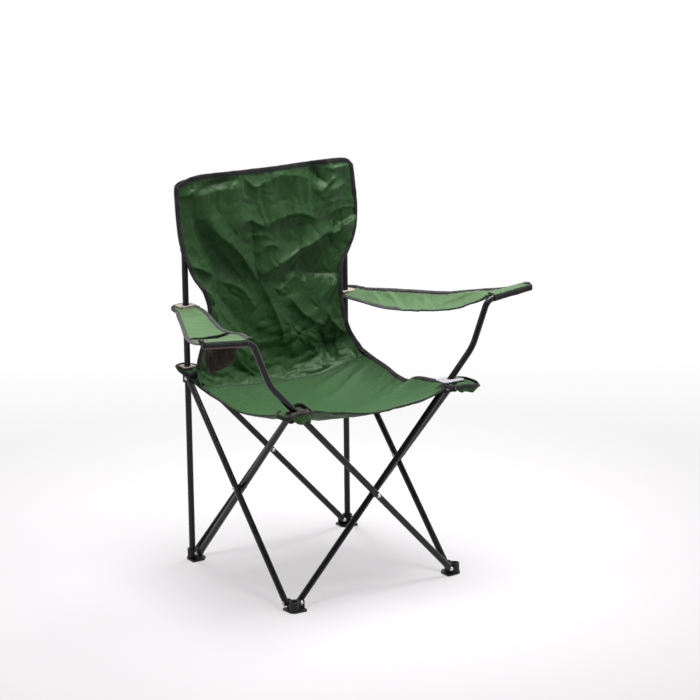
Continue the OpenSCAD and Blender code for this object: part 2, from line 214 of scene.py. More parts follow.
def tape(name, path, inward, material, width, thick, seed, closed=False):
    """Binding tape folded over an edge: path is the cloth's edge, inward points into the cloth."""
    rng = random.Random(seed)
    side, normal = frames_along(path, inward)
    count = len(path)
    sway = smoothed(np.array([rng.uniform(-1, 1) for _ in range(count)]), 3) * 0.0008
    run = distances(path)
    vertices, uvs = [], []
    for k in range(count):
        for j, (a, b) in enumerate(TAPE_SECTION):
            vertices.append(path[k] + side[k] * (a * width + sway[k]) + normal[k] * (b * thick))
            uvs.append((run[k], j * 0.0015))
    return add_object(name, vertices, ring_faces(count, len(TAPE_SECTION), closed), material, uvs)


STITCH, STITCH_GAP, THREAD_R = 0.0030, 0.0016, 0.00035


def stitches(name, path, normal, material, lift=0.0):
    """Sewing thread on a path: one rounded stitch after another, both ends in the cloth."""
    count = max(2, int(distances(path)[-1] / (STITCH + STITCH_GAP)))
    line = resample(path, count * 2 + 1)
    up = resample(path + normal, count * 2 + 1) - line
    vertices, faces = [], []
    for k in range(count):
        a, b = line[2 * k], line[2 * k + 1] * 1.2 - line[2 * k] * 0.2
        n = unit(up[2 * k])
        s = np.cross(n, unit(b - a))
        base = len(vertices)
        for share, high, wide in ((0.0, -0.6, 0.5), (0.25, 0.9, 1.0), (0.75, 0.9, 1.0), (1.0, -0.6, 0.5)):
            centre = a + (b - a) * share + n * (high * THREAD_R + lift)
            for x, y in ((1, 0), (0, 1), (-1, 0), (0, -1)):
                vertices.append(centre + s * (x * THREAD_R * wide) + n * (y * THREAD_R * wide))
        faces += [tuple(base + v for v in face) for face in ring_faces(4, 4)]
    return add_object(name, vertices, faces, material)


# ---- materials

class Tree:
    """The node tree of a material or world, with short calls that add nodes."""

    def __init__(self, owner):
        owner.use_nodes = True
        self.owner = owner
        self.nodes, self.links = owner.node_tree.nodes, owner.node_tree.links

    def fill(self, node, values):
        """Sets inputs of a node to numbers, colours or the outputs of other nodes."""
        for key, value in values.items():
            socket = node.inputs[key]
            if isinstance(value, bpy.types.NodeSocket):
                self.links.new(value, socket)
            else:
                socket.default_value = (*value, 1) if isinstance(value, tuple) else value

    def add(self, kind, values, output=0, **settings):
        """Adds a node and returns one of its outputs."""
        node = self.nodes.new("ShaderNode" + kind)
        for key, value in settings.items():
            setattr(node, key, value)
        self.fill(node, values)
        return node.outputs[output]

    def place(self):
        return self.add("TexCoord", {}, "Object")

    def uv(self):
        """The cloth's own UVs, in metres."""
        return self.add("UVMap", {}, "UV", uv_map="cloth")

    def noise(self, vector, scale, detail=4.0, rough=0.55):
        values = {"Vector": vector, "Scale": scale, "Detail": detail, "Roughness": rough}
        return self.add("TexNoise", values, "Fac")

    def threads(self, uv, direction, pitch, distortion, detail=2.0):
        """Parallel threads across a direction of the UVs."""
        values = {"Vector": uv, "Scale": 1 / (pitch * 20) * math.pi, "Distortion": distortion, "Detail": detail}
        return self.add("TexWave", values, "Fac", bands_direction=direction)

    def ramp(self, fac, stops):
        """Colours, or greys given as one number, at the places of a ramp."""
        node = self.nodes.new("ShaderNodeValToRGB")
        elements = node.color_ramp.elements
        while len(elements) < len(stops):
            elements.new(0.5)
        for element, (place, colour) in zip(elements, stops):
            element.position = place
            element.color = (*colour, 1) if isinstance(colour, tuple) else (colour, colour, colour, 1)
        self.links.new(fac, node.inputs["Fac"])
        return node.outputs["Color"]

    def bump(self, height, strength, distance, **normal):
        values = {"Height": height, "Strength": strength, "Distance": distance, **normal}
        return self.add("Bump", values, "Normal")

    def multiply(self, fac, a, b):
        return self.add("Mix", {0: fac, 6: a, 7: b}, 2, data_type="RGBA", blend_type="MULTIPLY")

    def surface(self, values):
        """Fills the material's own shader and returns the material."""
        self.fill(self.nodes["Principled BSDF"], values)
        return self.owner


def new_tree(name):
    return Tree(bpy.data.materials.new(name))


def cloth_material(name, dark, light, sheen, rough):
    """Woven polyester: fine weave, slubs, slight mottling and worn, lighter patches."""
    tree = new_tree(name)
    place, uv = tree.place(), tree.uv()
    crossed = {k: tree.threads(uv, direction, 0.0011, 0.6, 1.0) for k, direction in enumerate("XY")}
    weave = tree.add("Math", crossed, operation="MULTIPLY")
    mottled = tree.noise(place, 9.0, 5.0)
    colour = tree.ramp(mottled, [(0.30, dark), (0.72, light)])
    colour = tree.multiply(0.7, colour, tree.ramp(weave, [(0.0, 0.80), (0.8, 1.08)]))
    flecks = tree.ramp(tree.noise(uv, 160.0, 2.0), [(0.35, (0.90, 0.92, 0.90)), (0.7, (1.08, 1.06, 1.04))])
    creases = tree.bump(tree.noise(place, 55.0, 6.0, 0.6), 0.16, 0.004)
    return tree.surface({
        "Base Color": tree.multiply(1.0, colour, flecks),
        "Roughness": tree.ramp(mottled, [(0.2, rough - 0.07), (0.8, rough + 0.08)]),
        "Sheen Weight": sheen, "Sheen Roughness": 0.45, "Sheen Tint": (0.75, 1.0, 0.75),
        "Specular IOR Level": 0.26, "Specular Tint": (0.85, 1.0, 0.80),
        "Normal": tree.bump(weave, 0.22, 0.0003, Normal=creases)})


def tape_material(name, dark, light, sheen):
    """Black grosgrain tape: ribs across its run and a dusty bloom."""
    tree = new_tree(name)
    bloom = tree.noise(tree.place(), 45.0)
    ribs = tree.threads(tree.uv(), "X", 0.0009, 0.8)
    return tree.surface({
        "Base Color": tree.ramp(bloom, [(0.3, (dark, dark, dark * 1.1)),
                                        (0.75, (light, light * 0.98, light * 1.08))]),
        "Roughness": 0.72, "Specular IOR Level": 0.25, "Sheen Weight": sheen, "Sheen Roughness": 0.4,
        "Normal": tree.bump(ribs, 0.4, 0.0003)})


def thread_material(name, colour):
    tree = new_tree(name)
    twist = tree.noise(tree.place(), 900.0, 1.0)
    tone = tree.ramp(twist, [(0.3, tuple(c * 0.7 for c in colour)), (0.7, colour)])
    return tree.surface({"Base Color": tone, "Roughness": 0.6})


def hard_material(name, wear, colours, gloss, bump, values, grain=None):
    """Painted, moulded or bare surface whose colour and gloss vary with wear; grain is its fine pattern."""
    tree = new_tree(name)
    place = tree.place()
    worn = tree.noise(place, *wear)
    fine = tree.noise(place, grain, 2.0) if grain else worn
    return tree.surface({"Base Color": tree.ramp(worn, colours), "Roughness": tree.ramp(worn, gloss),
                         "Normal": tree.bump(fine, *bump), **values})


def plastic_material(name, dark, light, rough, grain=420.0, spec=0.4):
    """Moulded plastic with a fine spark-eroded grain and slight dirt."""
    return hard_material(name, (60.0, 6.0, 0.65), [(0.35, dark), (0.65, light)],
                         [(0.3, rough - 0.08), (0.7, rough + 0.1)], (0.14, 0.0004),
                         {"Specular IOR Level": spec}, grain)


BACK_CLOTH = cloth_material("cloth_back", (0.014, 0.051, 0.012), (0.021, 0.069, 0.019), 0.08, 0.45)
# the seat's cloth is the back's cloth made a little lighter in colour: painted light from the lamp above, the
# real cloth being one dye
SEAT_CLOTH_PAINTED_LIGHT = cloth_material("cloth_seat_painted_light", (0.018, 0.062, 0.017), (0.026, 0.080, 0.023), 0.06, 0.64)
# the armrests' cloth is the back's cloth made about twice as light in colour: painted light from the lamp above
# on the armrest tops
ARM_CLOTH_PAINTED_LIGHT = cloth_material("cloth_armrest_painted_light", (0.056, 0.116, 0.045), (0.074, 0.140, 0.058), 0.14, 0.60)
TAPE = tape_material("binding_tape", 0.006, 0.020, 0.10)
# the armrests' tape is the black tape in a lighter colour: painted light where the lamp above catches it, the
# real tape being the same black
PAINTED_LIGHT_TAPE = tape_material("binding_tape_painted_light", 0.014, 0.050, 0.18)
BLACK_THREAD = thread_material("thread_black", (0.02, 0.02, 0.02))
GREEN_THREAD = thread_material("thread_green", (0.06, 0.17, 0.07))
TAN_THREAD = thread_material("thread_tan", (0.30, 0.19, 0.09))
# black powder coat with a satin gloss, fine orange peel and a few dull scuffs
TUBE = hard_material(
    "tube_black", (38.0, 8.0, 0.7),
    [(0.35, (0.004, 0.004, 0.005)), (0.64, (0.008, 0.007, 0.008)), (0.76, (0.026, 0.024, 0.023))],
    [(0.3, 0.20), (0.75, 0.42)], (0.10, 0.0004), {"Specular IOR Level": 0.32}, 700.0)
# bright tumbled rivets, a little dull in the hollows
STEEL = hard_material("rivet_steel", (300.0, 5.0), [(0.3, (0.42, 0.41, 0.39)), (0.7, (0.78, 0.77, 0.74))],
                      [(0.3, 0.42), (0.7, 0.22)], (0.15, 0.0002), {"Metallic": 1.0})
PLASTIC = plastic_material("plastic_black", (0.006, 0.006, 0.007), (0.018, 0.017, 0.018), 0.45, spec=0.3)
CREAM = plastic_material("plastic_cream", (0.32, 0.26, 0.22), (0.44, 0.37, 0.32), 0.5, 300.0)
GREY = plastic_material("plastic_grey", (0.22, 0.21, 0.23), (0.32, 0.31, 0.34), 0.4, 300.0)
BROWN = plastic_material("plastic_brown", (0.016, 0.010, 0.007), (0.060, 0.034, 0.020), 0.55, 300.0, 0.3)
MESH = plastic_material("mesh_black", (0.040, 0.034, 0.028), (0.085, 0.072, 0.058), 0.7, 900.0, 0.2)

# The first entry that a node's name starts with gives its material
LOOKS = (("rivet", STEEL), (("leg_", "upright_"), TUBE), ("plate_front_right", GREY),
         ("plate_front_left", BROWN), ("plate_", CREAM),
         (("foot_", "slider_", "bracket_", "cap_", "plug_", "spacer_"), PLASTIC), ("", BACK_CLOTH))
for node_name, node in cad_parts.items():
    node.data.materials.clear()
    node.data.materials.append(next(look for start, look in LOOKS if node_name.startswith(start)))


# ---- cloth simulation

def settle(grid, slack, frames=26, bending=0.4, also=None):
    """Lets a sheet cut larger by slack settle between its sewn edges; also(point) holds more of it."""
    rows, cols, _ = grid.shape
    obj = add_object("settling", grid.reshape(-1, 3), grid_faces(rows, cols), TAPE)
    sewn = [r * cols + c for r in range(rows) for c in range(cols)
            if r in (0, rows - 1) or c in (0, cols - 1) or (also and also(grid[r, c]))]
    obj.vertex_groups.new(name="sewn").add(sewn, 1.0, "REPLACE")
    cloth = obj.modifiers.new("cloth", "CLOTH")
    settings = cloth.settings
    stiffness = 40
    settings.quality = 5
    settings.mass = 0.05
    settings.tension_stiffness = stiffness
    settings.compression_stiffness = stiffness
    settings.shear_stiffness = stiffness / 3
    settings.bending_stiffness = bending
    settings.vertex_group_mass = "sewn"
    settings.shrink_min = -slack
    settings.effector_weights.gravity = 0.3
    cloth.point_cache.frame_start = 1
    cloth.point_cache.frame_end = frames
    for frame_number in range(1, frames + 1):
        bpy.context.scene.frame_set(frame_number)
    shape = obj.evaluated_get(bpy.context.evaluated_depsgraph_get()).to_mesh()
    out = np.zeros(rows * cols * 3)
    shape.vertices.foreach_get("co", out)
    bpy.data.objects.remove(obj)
    bpy.context.scene.frame_set(1)
    return out.reshape(rows, cols, 3)


# ---- folds

def finer(grid):
    """The grid with a point between every two, smoothed once."""
    for axis in (0, 1):
        grid = np.moveaxis(grid, axis, 0)
        out = np.repeat(grid, 2, 0)[:-1]
        out[1::2] = (grid[1:] + grid[:-1]) / 2
        out[2:-2:2] = out[2:-2:2] * 0.5 + (out[1:-3:2] + out[3:-1:2]) * 0.25
        grid = np.moveaxis(out, 0, axis)
    return grid


def fold(grid, places, height, above, below):
    """Offset along the normals of a grid for a fold with a crisp crest through the given places,
    in percent of the grid. It falls away over the length above on its left side and below on its
    right side, seen along the crest against the normals. Its lengths are in millimetres."""
    rows, cols, _ = grid.shape
    path = smooth_curve([grid[round(v / 100 * (rows - 1)), round(u / 100 * (cols - 1))]
                         for u, v in places], 70)
    side = np.cross(grid_normals(grid).mean((0, 1)), unit(np.gradient(path, axis=0)))
    flat = grid.reshape(-1, 3)
    gap = np.linalg.norm(flat[:, None] - path[None], axis=2)
    near = gap.argmin(1)
    distance = np.maximum(gap[np.arange(len(flat)), near] - 0.0006, 0)
    upper = ((flat - path[near]) * side[near]).sum(1) > 0
    taper = np.sin(near / 69 * math.pi) ** 0.55
    shape = height / 1000 * taper * np.exp(-distance / np.where(upper, above / 1000, below / 1000))
    return shape.reshape(rows, cols)


def ridge(grid, start, end, width, height, bend):
    """Offset along the normals of a grid for one fold between two places given in percent of the
    grid (across, up). width and height are in millimetres; bend bows the fold sideways."""
    rows, cols, _ = grid.shape
    u, v = np.meshgrid(np.linspace(0, 1, cols), np.linspace(0, 1, rows))
    size = np.array([np.linalg.norm(grid[rows // 2, -1] - grid[rows // 2, 0]),
                     np.linalg.norm(grid[-1, cols // 2] - grid[0, cols // 2])])
    x, y = u * size[0], v * size[1]
    a, b = np.array(start) / 100 * size, np.array(end) / 100 * size
    run = np.linalg.norm(b - a)
    t = (b - a) / run
    along = ((x - a[0]) * t[0] + (y - a[1]) * t[1]) / run
    aside = -(x - a[0]) * t[1] + (y - a[1]) * t[0]
    aside = aside - bend / 1000 * 4 * along * (1 - along)
    ends = np.clip(np.sin(np.clip(along, 0, 1) * math.pi), 0, 1) ** 0.6
    shape = 1 / (1 + (np.abs(aside) / (width / 1000)) ** 2.6)
    return height / 1000 * shape * ends


def crumple(grid, scale, height, seed):
    """Facet-like creases over the whole grid."""
    rows, cols, _ = grid.shape
    out = np.zeros((rows, cols))
    shift = Vector((seed * 3.1, seed * 1.7, seed * 5.3))
    for r in range(rows):
        for c in range(cols):
            p = Vector(grid[r, c]) * scale + shift
            warp = noise.noise(p * 0.7 + Vector((7, 3, 1)))
            p = p + Vector((warp, -warp, warp)) * 0.8
            out[r, c] = abs(noise.noise(p)) * 2 - 0.6 + 0.4 * noise.noise(p * 2.3)
    return out * height


# ---- outline of the sling

# Seam between seat and back, from the left edge to the right one
SEAM = mm((-199, 146, 391), (-172, 149, 387), (-140, 150, 383), (-90, 151, 377), (0, 151, 371),
          (60, 150, 371), (95, 147, 372), (130, 140, 380), (160, 130, 390), (180, 121, 399),
          (197, 113, 409))
# Edges of the back: its sides from the seam up to the top corners, and its top
BACK_LEFT = mm((-199, 146, 391), (-200.5, 157, 415), (-197, 162, 440), (-187, 165, 466), (-173, 166, 500),
               (-165, 167, 543), (-175, 170, 585), (-194, 176, 617), (-206, 181, 651), (-216, 187, 698),
               (-221, 190, 740), (-222, 190, 778), (-223, 190, 808))
BACK_RIGHT = mm((197, 113, 409), (196.5, 140, 425), (193.5, 158, 441), (187, 164, 460), (175, 167, 504),
                (172, 169, 549), (174, 172, 580), (180, 176, 604), (195, 180, 621), (216.5, 187, 654),
                (225.5, 190, 690), (225.5, 190, 733), (220, 190, 780), (216, 190, 809))
BACK_TOP = mm((-223, 190, 808), (-207, 190, 817), (-189, 190, 824.5), (-168, 190, 827.5),
              (-100, 189, 827.5), (-50, 189, 826.5), (30, 188, 826.5), (115, 188, 827.5), (164, 189, 827),
              (203, 190, 822), (216, 190, 809))
# Edges of the seat; its front corners are cut off where the corner tabs take over
SEAT_FRONT = mm((-168, -209, 412), (-140, -208, 411), (-116, -206, 403), (-85, -205, 398), (-40, -205, 389),
                (5, -205, 383), (60, -205, 387), (110, -206, 391), (135, -209, 396), (155, -213, 403),
                (168, -216, 410))
SEAT_LEFT = mm((-168, -209, 412), (-186, -186, 412), (-196.5, -160, 405), (-196, -130, 394),
               (-194, -100, 386), (-195, -60, 378), (-196, 0, 371), (-196, 40, 372), (-197, 86, 378),
               (-198, 124, 383), (-199, 146, 391))
SEAT_RIGHT = mm((168, -216, 410), (185, -190, 412), (199.5, -160, 408), (203.5, -115, 402),
                (199.5, -76, 398.5), (201.5, -50, 390), (202.5, -36, 382.5), (200, 0, 386), (200, 40, 396),
                (199, 80, 404), (197, 113, 409))

# Folds of the back: places (across, up) along the crest in percent of the panel, listed from left
# to right, or downwards where the lit side is the right one; height; reach above and below it.
BACK_FOLDS = [
    # the long fold that sweeps from the right edge down to the middle
    ([(100, 74.5), (90, 68.5), (84, 65)], 13, 18, 4),
    ([(43, 51), (55, 58), (63, 61), (71, 64.5), (79, 68), (86, 67.5)], 16, 20, 4),
    ([(48, 50), (58, 56), (68, 60)], 4, 12, 3),
    ([(60, 50), (68, 54.5), (80, 60)], -6, 20, 16),
    # arches under the head
    ([(45, 75), (55, 77.8), (65, 78.5), (74.5, 74.5)], 10, 26, 4),
    ([(29, 73.5), (36.5, 78.5), (42, 76), (48, 73.5)], 9, 20, 4),
    ([(41, 62), (46, 66.3), (53, 65)], 5, 10, 3),
    ([(33, 69.5), (41, 71.5), (50, 69)], 4, 12, 3),
    # the wide valley from the left pocket down to the middle, lit on its right side
    ([(14, 81), (20.5, 73), (27.5, 66.5), (35, 58.5), (42, 48)], 11, 34, 7),
    ([(10, 79), (17, 67), (25, 57), (33, 49)], -7, 16, 30),
    ([(22, 66), (30, 55), (38, 44)], 3, 10, 4),
    # facets along the left edge
    ([(0, 61.5), (7, 57.5), (14, 53.5)], 9, 16, 5),
    ([(1, 50), (5, 42), (7, 31)], 8, 4, 14),
    ([(10, 48), (20, 37), (30, 26), (38, 18)], -8, 22, 22),
    ([(16, 50), (28, 46), (38, 36)], 6, 22, 8),
    # creases that run out from the middle
    ([(43, 50), (47, 40), (53, 29), (57, 18)], 6, 22, 6),
    ([(46, 47.5), (56, 44), (66, 48.8), (74, 44)], 7, 7, 22),
    ([(64, 33), (70, 40), (76, 49)], 5, 12, 5),
    ([(70, 50), (84, 47), (100, 45)], -6, 14, 10),
    ([(80, 33), (90, 39), (100, 43)], 6, 20, 8),
    ([(60, 40), (72, 30), (84, 22)], 6, 24, 6),
    # bands that hang down to the seam
    ([(24, 30), (30, 17), (33, 5)], 3.1, 18, 10),
    ([(40, 27), (42, 15), (44, 3)], -3.1, 14, 18),
    ([(60, 27), (62, 14), (63, 2)], 3.1, 18, 12),
    ([(74, 24), (76, 12), (77, 2)], 5.6, 10, 24),
    ([(80, 24), (82, 12), (83, 4)], -4.3, 10, 14),
    ([(91, 24), (89, 15), (86.5, 5)], 5.6, 16, 4),
    ([(86, 30), (92, 20), (98, 13)], 3.7, 16, 6),
    # the head, near the top band
    ([(10, 92.5), (22, 95.5), (35, 96.5)], -6, 8, 14),
    ([(10, 90.5), (24, 92.5), (38, 93)], 4, 12, 16),
    ([(37, 96.5), (42.5, 92.5), (48, 94.5)], 6, 12, 4),
    ([(46, 92.5), (56, 96), (66, 95), (72, 92.5)], 6, 12, 18),
    ([(74, 100), (78, 93), (82, 88)], -10, 10, 10),
    ([(76, 85.5), (81, 89), (89, 93)], 9, 12, 4),
    ([(78, 83), (85, 86.5), (93, 89)], 7, 10, 4),
    ([(82, 96), (88, 95.5), (96, 97.5)], 6, 8, 4),
    ([(72, 96), (71, 90), (69.5, 83)], 3, 10, 4),
    ([(70, 79), (84, 81.5), (98, 80.5)], 4, 14, 6),
    ([(80, 76), (90, 77.5), (100, 79)], 4, 10, 4),
    ([(2, 94.5), (7, 93), (12, 94)], 5, 8, 4),
]
# every height above is made larger by this
BACK_FOLD_DEPTH = 1.4
# Folds of the seat: two places (across, up) in percent; width, height and sideways bend
SEAT_FOLDS = [((2, 10), (40, 34), 6, 5, 6), ((3, 5), (50, 16), 6, 5, 4), ((2, 14), (26, 46), 6, 4, 0),
              ((98, 6), (60, 30), 6, 5, -6), ((98, 4), (52, 10), 6, 5, 0), ((98, 14), (74, 44), 6, 5, 4),
              ((99, 46), (82, 44), 5, 7, 0), ((4, 92), (40, 66), 7, 5, 6), ((10, 98), (50, 80), 6, 4, 0),
              ((96, 92), (62, 72), 7, 6, 0), ((90, 97), (60, 86), 6, 5, 0), ((30, 55), (60, 48), 10, 3, 0),
              ((2, 36), (26, 52), 6, 5, 0), ((2, 60), (24, 62), 6, 4, 0), ((98, 62), (80, 58), 6, 4, 0),
              ((40, 2), (50, 22), 8, 4, 0)]


def sling_grid(rows, bottom, top, left, right):
    cols = 113
    return coons(smooth_curve(bottom, cols), smooth_curve(top, cols),
                 smooth_curve(left, rows), smooth_curve(right, rows))


def back_grid():
    grid = sling_grid(127, SEAM, BACK_TOP, BACK_LEFT, BACK_RIGHT)
    # the middle of the cloth hangs a little behind the line between its edges
    grid[..., 1] += sag(grid, 0.008, 0.03, 0.9)
    grid = pushed(grid, crumple(grid, 14.0, 0.0028, 2), 0.035)
    head = TOP - 0.165
    grid = finer(settle(grid, 0.010, also=lambda p: p[2] > head and abs(p[0]) > 0.187))
    offset = BACK_FOLD_DEPTH * sum(fold(grid, *part) for part in BACK_FOLDS) + crumple(grid, 34.0, 0.0018, 5)
    grid = pushed(grid, offset, 0.035)
    # the cloth stays in front of the uprights
    near_post = (np.abs(grid[..., 0]) > POST - TUBE_R - 0.006) & (grid[..., 2] > 0.60)
    grid[..., 1] = np.where(near_post, np.minimum(grid[..., 1], POST - TUBE_R - 0.0018), grid[..., 1])
    return grid


def seat_grid():
    grid = sling_grid(101, SEAT_FRONT, SEAM, SEAT_LEFT, SEAT_RIGHT)
    grid[..., 2] -= sag(grid, 0.006)
    offset = sum(ridge(grid, *part) for part in SEAT_FOLDS)
    offset = offset + crumple(grid, 10.0, 0.0016, 11) + crumple(grid, 26.0, 0.0008, 12)
    return settle(pushed(grid, offset, 0.04), 0.008, frames=18, bending=0.8)


# ---- pieces

BINDING = 0.0085
BACK_SQUASH = ("fold", (1, 0, 0), (-POST, 0, 0), 0.254)
SEAT_SQUASH = {side: (f"seat_{side}_fold", (0, 1, 0), (0, 0.1785, 0), 0.168) for side in SIGN}
ARM_SQUASH = {
    "left": ("arm_left_swing", (0.0077, -0.9987, 0.0504), (-0.2005, 0.172, 0.552), 0.463),
    "right": ("arm_right_swing", (-0.0134, -0.9931, 0.1165), (0.2005, 0.172, 0.529), 0.47),
}


def place(objs, body, squash=None, slot="green_cloth"):
    """Puts pieces on a body; when squash, (joint, axis, anchor, keep), is given, each piece gets a mesh of its
    own, and nothing else is done with it.
    """
    for obj in objs:
        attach(obj, body)
        if squash:
            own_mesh(obj)


def declare(grid):
    """Works out the width and length a sheet is cut to, from the longest row and column of its grid, and the
    grid's own area; nothing is done with them.
    """
    width = np.linalg.norm(np.diff(grid, axis=1), axis=2).sum(1).max()
    length = np.linalg.norm(np.diff(grid, axis=0), axis=2).sum(0).max()
    cells = np.cross(grid[1:, 1:] - grid[:-1, :-1], grid[1:, :-1] - grid[:-1, 1:])
    area = np.linalg.norm(cells, axis=2).sum() / 2
    width, length = max(width, 0.0101), max(length, 0.0101)
    area = min(max(area, 0.301 * width * length), width * length)


def sewn_tape(tape_name, stitches_name, edge, inward, like, material, width, row, seed):
    """Binding tape and its row of stitches; like are the cloth's own normals along the edge."""
    side, up = frames_along(edge, inward)
    up = up * np.sign((up * like).sum(1, keepdims=True))
    return [tape(tape_name, edge, inward, material, width, 0.0034, seed),
            stitches(stitches_name, edge + side * row, up, BLACK_THREAD, 0.0018)]


def make_back():
    grid = back_grid()
    panel = grid_object("back_panel", grid, BACK_CLOTH)
    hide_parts("back")
    normals = grid_normals(grid)
    # the binding's left end lies where the wing of the seat covers the edge
    start = int(np.argmax(grid[:, 0, 2] > 0.428))
    outline = np.concatenate([grid[start:, 0], grid[-1, 1:-1], grid[::-1, -1]])
    inner = np.concatenate([grid[start:, 4], grid[-5, 1:-1], grid[::-1, -5]])
    like = np.concatenate([normals[start:, 0], normals[-1, 1:-1], normals[::-1, -1]])
    sewn = sewn_tape("back_binding", "back_binding_stitches", outline, inner - outline, like, TAPE,
                     BINDING, 0.0068, 1)
    for name, column, low, high in (("pocket_seam_left", 18, 172, 246), ("pocket_seam_right", 208, 166, 246),
                                    ("middle_seam", 90, 196, 250)):
        up = normals[low:high, column]
        sewn.append(stitches("back_" + name, grid[low:high, column] + up * 0.0008, up, GREEN_THREAD))
    place([panel, *sewn], "rear_left", BACK_SQUASH)
    declare(grid)
    return grid


def make_seat():
    grid = seat_grid()
    middle = grid.shape[1] // 2
    for side, columns, weave, edge_columns in (("left", slice(None, middle + 1), 0, (0, 2)),
                                               ("right", slice(middle, None), 0.5, (-1, -3))):
        part, normal = grid[:, columns], grid_normals(grid)[:, columns]
        panel = grid_object("seat_panel_" + side, part, SEAT_CLOTH_PAINTED_LIGHT, turn=(weave, 0))
        panel.modifiers.new("even_shading", "WEIGHTED_NORMAL").weight = 90
        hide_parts("seat_" + side)
        edge, inside = (part[14:, column] for column in edge_columns)
        extra = [
            tape("seat_side_binding_" + side, edge, inside - edge, TAPE, BINDING, 0.0034, 3),
            *sewn_tape("seat_front_binding_" + side, "seat_front_stitches_" + side, part[0],
                       part[2] - part[0], normal[0], TAPE, BINDING, 0.0068, 4),
            stitches("seat_seam_" + side, part[-3] + normal[-3] * 0.0008, normal[-3], GREEN_THREAD),
            tape("seat_welt_" + side, part[-1], part[-2] - part[-1], BLACK_THREAD, 0.0016, 0.0022, 5)]
        place([panel, *extra], "seat_" + side, SEAT_SQUASH[side])
        declare(part)


# ---- tabs

def ring_tab(name, hole, hole_r, outline, material, body, replaced, bound=(0.0, 1.0),
             pleat=0.0012, droop=0.0):
    """Tab of cloth round a tube, with a bound edge. The outline is closed; bound is the part of it,
    in shares from its first point, that has tape, and droop turns that tape downwards."""
    count, rings = 96, 9
    edge = closed_curve(outline, count)
    centre = np.array(hole)
    away = edge - centre
    away[:, 2] = 0
    inner = centre + unit(away) * hole_r
    s = np.linspace(0, 1, rings)[:, None, None]
    grid = inner[None] + (edge - inner)[None] * s
    grid[..., 2] = centre[2] + (edge[:, 2] - centre[2])[None] * (s[..., 0] ** 1.7)
    turn = np.linspace(0, 2 * math.pi, count + 1)[None]
    waves = np.sin(5 * turn + hole[0] * 90) + 0.7 * np.sin(9 * turn + 2.0)
    grid[..., 2] += pleat * waves * (s[..., 0] * (1 - s[..., 0]) * 4)
    tab = grid_object(name, grid, material)
    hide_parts(replaced)
    first, last = int(bound[0] * count), int(bound[1] * count)
    path, inward = grid[-1, first:last + 1], (grid[-2] - grid[-1])[first:last + 1].copy()
    inward[:, 2] += droop * np.linalg.norm(inward, axis=1)
    binding = tape(name + "_binding", path, inward, TAPE, 0.0075, 0.0032, len(name))
    place([tab, binding], body)
    return grid


def make_slider_tabs():
    """Diamond tabs on the rear sliders, and the bound wings that tie the seat's corners to them."""
    around = mm((223, 206, 1), (217, 218, 2), (200, 224, 3), (184, 217, 2), (176, 199, 0), (183, 180, -6),
                (201, 171, -12), (219, 184, -10))
    for side, sign in SIGN.items():
        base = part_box("tab_rear_" + side)[1].z - 0.001
        ring_tab("slider_tab_" + side, (sign * POST, POST, base), TUBE_R + 0.0015,
                 [(sign * x, y, base + z) for x, y, z in around], BACK_CLOTH, "slider_" + side,
                 "tab_rear_" + side)
        _, y, low = SEAM[0] if side == "left" else SEAM[-1]
        rows, cols = 15, 13
        outer = smooth_curve([(sign * 0.2015, y - 0.026, low - 0.006),
                              (sign * 0.205, (y + 0.165) / 2, low + 0.004),
                              (sign * 0.213, 0.181, base - 0.010)], rows)
        inner = smooth_curve([(sign * 0.189, y + 0.002, low + 0.002),
                              (sign * 0.188, (y + 0.178) / 2, low + 0.012),
                              (sign * 0.186, 0.184, base - 0.006)], rows)
        left, right = (outer, inner) if side == "left" else (inner, outer)
        wing = coons(np.linspace(left[0], right[0], cols), np.linspace(left[-1], right[-1], cols), left, right)
        wing[..., 2] -= sag(wing, 0.004)
        panel = grid_object("seat_wing_" + side, wing, SEAT_CLOTH_PAINTED_LIGHT)
        tapes = [tape(f"seat_wing_binding_{side}_{k}", wing[:, a], wing[:, b] - wing[:, a], TAPE,
                      0.008, 0.0034, k) for k, (a, b) in enumerate(((0, 2), (-1, -3)))]
        place([panel, *tapes], "seat_" + side, SEAT_SQUASH[side])
        declare(wing)


